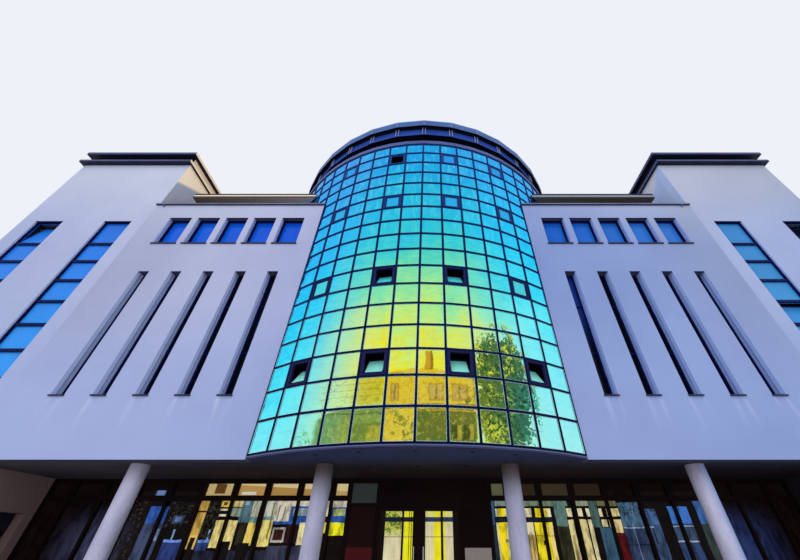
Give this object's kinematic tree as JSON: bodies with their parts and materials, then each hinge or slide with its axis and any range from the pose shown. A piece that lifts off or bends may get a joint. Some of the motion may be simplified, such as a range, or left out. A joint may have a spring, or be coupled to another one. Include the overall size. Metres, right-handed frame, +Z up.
{
  "type": "modern city mosque building with a glass bow",
  "caption": "Rendered modern city building with a faceted glass bow rising into a drum, slotted front walls, corner towers, a ground-floor loggia and hinged entrance doors.",
  "frame": {"origin": "on the drum's vertical axis at ground level, on the underside of the ground floor slab", "axes": "+X along the street front to the right as seen from the street, +Y into the building, +Z up"},
  "size_m": [37.86, 19.365, 20.25],
  "materials": {
    "wall_render": "smooth white render, matt",
    "floor_concrete": "painted concrete",
    "column_concrete": "smooth painted concrete",
    "attic_render": "cream render",
    "curtain_cap": "navy coated aluminium caps",
    "mirror_glass": "tinted reflecting glass",
    "window_frame": "navy coated aluminium",
    "window_glass": "blue tinted glass",
    "trim_metal": "blue-grey coated sheet",
    "cornice_metal": "dark coated sheet",
    "crown_dark": "black louvre",
    "crown_blue": "blue coated panels",
    "shop_frame": "dark brown coated aluminium",
    "shop_glass": "clear glass",
    "entrance_panel": "dark red-brown panels",
    "handle_steel": "brushed bar"
  },
  "bodies": {
    "building": {"ground_floor": "floor_concrete", "first_floor": "floor_concrete", "upper_floors": "floor_concrete", "roof_slab": "floor_concrete", "roof_kerb": "wall_render", "front_wall_left": "wall_render", "front_wall_right": "wall_render", "tower_fronts": "wall_render", "tower_rear_walls": "wall_render", "party_walls": "wall_render", "tower_inner_walls": "wall_render", "rear_wall": "wall_render", "bow_frame_left": "curtain_cap", "bow_frame_centre": "curtain_cap", "bow_frame_right": "curtain_cap", "drum_frame": "curtain_cap", "bow_glass": "mirror_glass", "drum_glass": "mirror_glass", "bow_base": "trim_metal", "bow_window_frames": "window_frame", "sashes": "window_frame", "sash_glass": "mirror_glass", "drum_parapet": "trim_metal", "drum_louvre": "crown_dark", "drum_band": "crown_blue", "drum_posts": "trim_metal", "drum_roof": "crown_dark", "drum_fascia": "trim_metal", "tower_cornices": "cornice_metal", "gutter": "trim_metal", "attic_walls": "attic_render", "attic_roof": "attic_render", "front_window_frames": "window_frame", "front_window_glass": "window_glass", "sills": "trim_metal", "strip_frames": "window_frame", "strip_glass": "window_glass", "rear_window_frames": "window_frame", "rear_window_glass": "window_glass", "columns": "column_concrete", "shopfront_frames": "shop_frame", "shopfront_glass": "shop_glass", "entrance_frame": "shop_frame", "entrance_panels": "entrance_panel"},
    "door_left": {"door_leaf_left": "shop_frame", "door_glass_left": "shop_glass", "door_handle_left": "handle_steel"},
    "door_right": {"door_leaf_right": "shop_frame", "door_glass_right": "shop_glass", "door_handle_right": "handle_steel"}
  },
  "joints": [
    {"name": "door_left_hinge", "type": "hinge", "parent": "building", "child": "door_left", "pos_m": [-1.397, -3.9163, 1.4375], "axis": [0, 0, -1], "range_deg": [0, 90]},
    {"name": "door_right_hinge", "type": "hinge", "parent": "building", "child": "door_right", "pos_m": [1.397, -3.9163, 1.4375], "axis": [0, 0, 1], "range_deg": [0, 90]}
  ]
}
